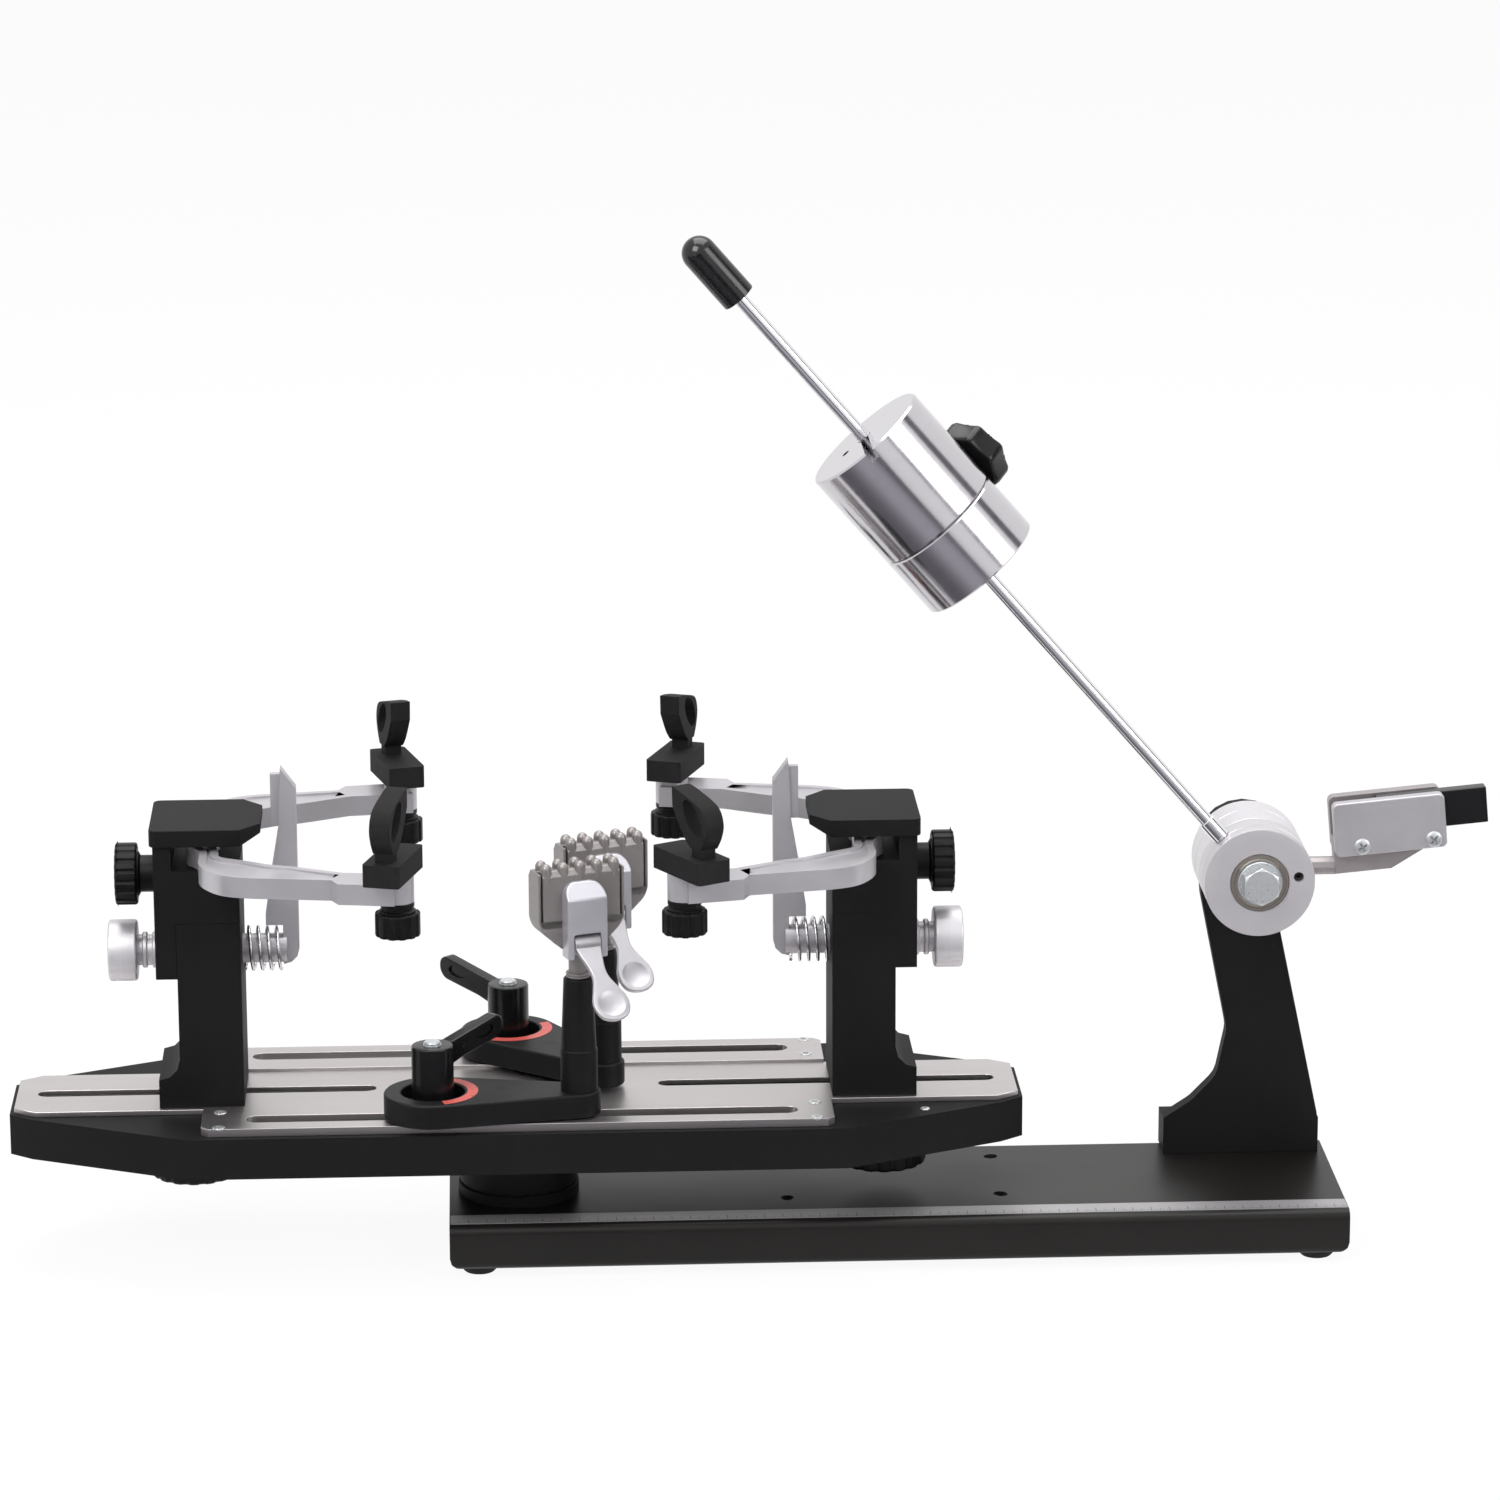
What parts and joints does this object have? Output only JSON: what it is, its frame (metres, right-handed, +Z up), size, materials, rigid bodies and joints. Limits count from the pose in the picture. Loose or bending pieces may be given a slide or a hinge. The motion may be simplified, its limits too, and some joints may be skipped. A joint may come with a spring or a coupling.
{
  "type": "racket stringing machine",
  "caption": "Table-top drop-weight racket stringing machine: base, turntable with sliding towers, side supports, string clamps, and a tension arm with drum and gripper.",
  "frame": {"origin": "on the table, under the middle of the whole machine's bounding box", "axes": "+Z up, +X along the base and the turntable's rail towards the tensioner, -Y the front seen in the picture"},
  "size_m": [0.803, 0.2576, 0.5612],
  "materials": {
    "blackPaint": "satin black powder coat",
    "blackCast": "matte black coated casting",
    "blackPlastic": "black moulded plastic",
    "blackRubber": "matte black rubber",
    "steel": "brushed steel",
    "weightSteel": "turned bright steel",
    "aluminium": "turned aluminium",
    "castAluminium": "cast aluminium",
    "jaw": "grey investment-cast steel",
    "chrome": "bright chrome"
  },
  "bodies": {
    "base": {"base_channel": "blackPaint", "foot_front_left": "blackRubber", "foot_front_right": "blackRubber", "foot_rear_left": "blackRubber", "foot_rear_right": "blackRubber", "tension_post": "blackPaint", "axle_bolt": "chrome", "pivot_hub": "blackPaint"},
    "arm": {"arm_hub": "aluminium", "arm_rod": "chrome", "rod_grip": "blackRubber"},
    "weight": {"main_weight": "weightSteel", "add_on_weight": "weightSteel"},
    "weight_knob": {"weight_knob": "blackPlastic"},
    "drum": {"tension_drum": "aluminium", "gripper_body": "castAluminium", "gripper_front_plate": "aluminium"},
    "gripper_jaw": {"gripper_jaw": "blackPlastic"},
    "turntable": {"turntable_frame": "blackCast", "center_rail": "steel", "front_deck_plate": "steel", "rear_deck_plate": "steel"},
    "left_tower": {"left_tower_column": "blackCast", "left_tower_head": "blackCast", "left_holder_spring": "chrome"},
    "left_lock_knob": {"left_lock_knob": "blackPlastic"},
    "left_adjuster_knob": {"left_adjuster_knob": "blackPlastic"},
    "left_holder_knob": {"left_holder_knob": "aluminium"},
    "left_holder_blade": {"left_holder_blade": "castAluminium"},
    "front_left_side_arm": {"front_left_side_arm": "castAluminium"},
    "front_left_support": {"front_left_support": "blackRubber"},
    "front_left_support_knob": {"front_left_support_knob": "blackPlastic"},
    "rear_left_side_arm": {"rear_left_side_arm": "castAluminium"},
    "rear_left_support": {"rear_left_support": "blackRubber"},
    "rear_left_support_knob": {"rear_left_support_knob": "blackPlastic"},
    "right_tower": {"right_tower_column": "blackCast", "right_tower_head": "blackCast", "right_holder_spring": "chrome"},
    "right_lock_knob": {"right_lock_knob": "blackPlastic"},
    "right_adjuster_knob": {"right_adjuster_knob": "blackPlastic"},
    "right_holder_knob": {"right_holder_knob": "aluminium"},
    "right_holder_blade": {"right_holder_blade": "castAluminium"},
    "front_right_side_arm": {"front_right_side_arm": "castAluminium"},
    "front_right_support": {"front_right_support": "blackRubber"},
    "front_right_support_knob": {"front_right_support_knob": "blackPlastic"},
    "rear_right_side_arm": {"rear_right_side_arm": "castAluminium"},
    "rear_right_support": {"rear_right_support": "blackRubber"},
    "rear_right_support_knob": {"rear_right_support_knob": "blackPlastic"},
    "front_clamp_bolt": {"front_clamp_bolt": "steel"},
    "front_clamp_base": {"front_clamp_base": "blackPlastic"},
    "front_clamp_base_lever": {"front_clamp_base_lever": "blackPlastic"},
    "front_clamp_head": {"front_clamp_head": "jaw"},
    "front_clamp_jaw": {"front_clamp_jaw": "jaw"},
    "front_clamp_spoon_lever": {"front_clamp_spoon_lever": "castAluminium"},
    "rear_clamp_bolt": {"rear_clamp_bolt": "steel"},
    "rear_clamp_base": {"rear_clamp_base": "blackPlastic"},
    "rear_clamp_base_lever": {"rear_clamp_base_lever": "blackPlastic"},
    "rear_clamp_head": {"rear_clamp_head": "jaw"},
    "rear_clamp_jaw": {"rear_clamp_jaw": "jaw"},
    "rear_clamp_spoon_lever": {"rear_clamp_spoon_lever": "castAluminium"}
  },
  "joints": [
    {"name": "turntable_turn", "type": "hinge", "parent": "base", "child": "turntable", "pos_m": [-0.12722, -0.00032, 0.064], "axis": [0, 0, 1], "continuous": true},
    {"name": "arm_swing", "type": "hinge", "parent": "base", "child": "arm", "pos_m": [0.27378, -0.02232, 0.2069], "axis": [0, 1, 0], "range_deg": [0, 139]},
    {"name": "weight_slide", "type": "slide", "parent": "arm", "child": "weight", "axis": [-0.6561, 0, 0.7547], "range_m": [-0.165, 0.09]},
    {"name": "weight_knob_turn", "type": "hinge", "parent": "weight", "child": "weight_knob", "pos_m": [0.09534, -0.02232, 0.41218], "axis": [0.5337, 0.7071, 0.4639], "range_deg": [0, 720]},
    {"name": "drum_turn", "type": "hinge", "parent": "arm", "child": "drum", "pos_m": [0.27378, 0.00968, 0.2069], "axis": [0, 1, 0], "range_deg": [-60, 0]},
    {"name": "gripper_jaw_slide", "type": "slide", "parent": "drum", "child": "gripper_jaw", "axis": [0.9959, 0, 0.0906], "range_m": [-0.008, 0], "stiffness_N_per_m": 200},
    {"name": "left_tower_slide", "type": "slide", "parent": "turntable", "child": "left_tower", "axis": [-1, 0, 0], "range_m": [-0.01, 0.05]},
    {"name": "left_lock_knob_turn", "type": "hinge", "parent": "left_tower", "child": "left_lock_knob", "pos_m": [-0.30352, -0.00032, 0.054], "axis": [0, 0, 1], "range_deg": [0, 360]},
    {"name": "left_holder_knob_turn", "type": "hinge", "parent": "left_tower", "child": "left_holder_knob", "pos_m": [-0.27462, -0.00032, 0.1703], "axis": [1, 0, 0], "range_deg": [-1445, 2885]},
    {"name": "left_holder_slide", "type": "slide", "parent": "left_tower", "child": "left_holder_blade", "axis": [1, 0, 0], "range_m": [-0.005, 0.01], "deforming": ["left_holder_spring"]},
    {"name": "front_left_side_arm_turn", "type": "hinge", "parent": "left_tower", "child": "front_left_side_arm", "pos_m": [-0.29462, -0.01431, 0.228], "axis": [0, 0, -1], "range_deg": [-3, 4]},
    {"name": "front_left_support_swivel", "type": "hinge", "parent": "front_left_side_arm", "child": "front_left_support", "pos_m": [-0.18924, -0.09329, 0.243], "axis": [0, 0, 1], "range_deg": [-15, 15]},
    {"name": "front_left_support_knob_turn", "type": "hinge", "parent": "front_left_support", "child": "front_left_support_knob", "pos_m": [-0.18924, -0.09329, 0.21], "axis": [0, 0, 1], "range_deg": [0, 360]},
    {"name": "rear_left_side_arm_turn", "type": "hinge", "parent": "left_tower", "child": "rear_left_side_arm", "pos_m": [-0.29462, 0.01368, 0.228], "axis": [0, 0, 1], "range_deg": [-3, 4]},
    {"name": "rear_left_support_swivel", "type": "hinge", "parent": "rear_left_side_arm", "child": "rear_left_support", "pos_m": [-0.18924, 0.09266, 0.243], "axis": [0, 0, 1], "range_deg": [-15, 15]},
    {"name": "rear_left_support_knob_turn", "type": "hinge", "parent": "rear_left_support", "child": "rear_left_support_knob", "pos_m": [-0.18924, 0.09266, 0.21], "axis": [0, 0, 1], "range_deg": [0, 360]},
    {"name": "left_adjuster_knob_turn", "type": "hinge", "parent": "left_tower", "child": "left_adjuster_knob", "pos_m": [-0.27462, -0.00032, 0.2132], "axis": [1, 0, 0], "range_deg": [-162, 216]},
    {"name": "right_tower_slide", "type": "slide", "parent": "turntable", "child": "right_tower", "axis": [1, 0, 0], "range_m": [-0.01, 0.05]},
    {"name": "right_lock_knob_turn", "type": "hinge", "parent": "right_tower", "child": "right_lock_knob", "pos_m": [0.07218, -0.00032, 0.054], "axis": [0, 0, 1], "range_deg": [0, 360]},
    {"name": "right_holder_knob_turn", "type": "hinge", "parent": "right_tower", "child": "right_holder_knob", "pos_m": [0.04328, -0.00032, 0.1703], "axis": [-1, 0, 0], "range_deg": [-1445, 2885]},
    {"name": "right_holder_slide", "type": "slide", "parent": "right_tower", "child": "right_holder_blade", "axis": [-1, 0, 0], "range_m": [-0.005, 0.01], "deforming": ["right_holder_spring"]},
    {"name": "front_right_side_arm_turn", "type": "hinge", "parent": "right_tower", "child": "front_right_side_arm", "pos_m": [0.06328, -0.01431, 0.228], "axis": [0, 0, 1], "range_deg": [-4, 3.5]},
    {"name": "front_right_support_swivel", "type": "hinge", "parent": "front_right_side_arm", "child": "front_right_support", "pos_m": [-0.03855, -0.09781, 0.243], "axis": [0, 0, 1], "range_deg": [-15, 15]},
    {"name": "front_right_support_knob_turn", "type": "hinge", "parent": "front_right_support", "child": "front_right_support_knob", "pos_m": [-0.03855, -0.09781, 0.21], "axis": [0, 0, 1], "range_deg": [0, 360]},
    {"name": "rear_right_side_arm_turn", "type": "hinge", "parent": "right_tower", "child": "rear_right_side_arm", "pos_m": [0.06328, 0.01368, 0.228], "axis": [0, 0, -1], "range_deg": [-4, 3.5]},
    {"name": "rear_right_support_swivel", "type": "hinge", "parent": "rear_right_side_arm", "child": "rear_right_support", "pos_m": [-0.03855, 0.09718, 0.243], "axis": [0, 0, 1], "range_deg": [-15, 15]},
    {"name": "rear_right_support_knob_turn", "type": "hinge", "parent": "rear_right_support", "child": "rear_right_support_knob", "pos_m": [-0.03855, 0.09718, 0.21], "axis": [0, 0, 1], "range_deg": [0, 360]},
    {"name": "right_adjuster_knob_turn", "type": "hinge", "parent": "right_tower", "child": "right_adjuster_knob", "pos_m": [0.04328, -0.00032, 0.2132], "axis": [-1, 0, 0], "range_deg": [-216, 189]},
    {"name": "front_clamp_slide", "type": "slide", "parent": "turntable", "child": "front_clamp_bolt", "axis": [1, 0, 0], "range_m": [-0.045, 0.04]},
    {"name": "front_clamp_base_turn", "type": "hinge", "parent": "front_clamp_bolt", "child": "front_clamp_base", "pos_m": [-0.17272, -0.05572, 0.1], "axis": [0, 0, -1], "range_deg": [-3, 50]},
    {"name": "front_clamp_lever_turn", "type": "hinge", "parent": "front_clamp_bolt", "child": "front_clamp_base_lever", "pos_m": [-0.17272, -0.05572, 0.1], "axis": [0, 0, 1], "range_deg": [-60, 0]},
    {"name": "front_clamp_head_turn", "type": "hinge", "parent": "front_clamp_base", "child": "front_clamp_head", "pos_m": [-0.09432, -0.05572, 0.15], "axis": [0, 0, 1], "range_deg": [-10, 20]},
    {"name": "front_clamp_spoon_turn", "type": "hinge", "parent": "front_clamp_head", "child": "front_clamp_spoon_lever", "pos_m": [-0.09021, -0.06699, 0.19], "axis": [-0.9397, -0.342, 0], "range_deg": [0, 40]},
    {"name": "front_clamp_jaw_slide", "type": "slide", "parent": "front_clamp_head", "child": "front_clamp_jaw", "axis": [-0.342, 0.9397, 0], "range_m": [0, 0.0014]},
    {"name": "rear_clamp_slide", "type": "slide", "parent": "turntable", "child": "rear_clamp_bolt", "axis": [1, 0, 0], "range_m": [-0.045, 0.04]},
    {"name": "rear_clamp_base_turn", "type": "hinge", "parent": "rear_clamp_bolt", "child": "rear_clamp_base", "pos_m": [-0.13142, 0.05509, 0.1], "axis": [0, 0, 1], "range_deg": [-2, 40]},
    {"name": "rear_clamp_lever_turn", "type": "hinge", "parent": "rear_clamp_bolt", "child": "rear_clamp_base_lever", "pos_m": [-0.13142, 0.05509, 0.1], "axis": [0, 0, 1], "range_deg": [-60, 0]},
    {"name": "rear_clamp_head_turn", "type": "hinge", "parent": "rear_clamp_base", "child": "rear_clamp_head", "pos_m": [-0.08019, -0.00426, 0.15], "axis": [0, 0, 1], "range_deg": [-3, 20]},
    {"name": "rear_clamp_spoon_turn", "type": "hinge", "parent": "rear_clamp_head", "child": "rear_clamp_spoon_lever", "pos_m": [-0.07608, -0.01554, 0.19], "axis": [-0.9397, -0.342, 0], "range_deg": [0, 40]},
    {"name": "rear_clamp_jaw_slide", "type": "slide", "parent": "rear_clamp_head", "child": "rear_clamp_jaw", "axis": [-0.342, 0.9397, 0], "range_m": [0, 0.0014]}
  ],
  "couplings": [
    {"joint": "left_holder_knob_turn", "follows": "left_holder_slide", "rad_per_m": 5026.6},
    {"joint": "rear_left_side_arm_turn", "follows": "front_left_side_arm_turn", "ratio": 1},
    {"joint": "left_adjuster_knob_turn", "follows": "front_left_side_arm_turn", "ratio": 54},
    {"joint": "right_holder_knob_turn", "follows": "right_holder_slide", "rad_per_m": 5026.6},
    {"joint": "rear_right_side_arm_turn", "follows": "front_right_side_arm_turn", "ratio": 1},
    {"joint": "right_adjuster_knob_turn", "follows": "front_right_side_arm_turn", "ratio": 54},
    {"joint": "front_clamp_spoon_turn", "follows": "front_clamp_jaw_slide", "rad_per_m": 498.6},
    {"joint": "rear_clamp_spoon_turn", "follows": "rear_clamp_jaw_slide", "rad_per_m": 498.6}
  ]
}
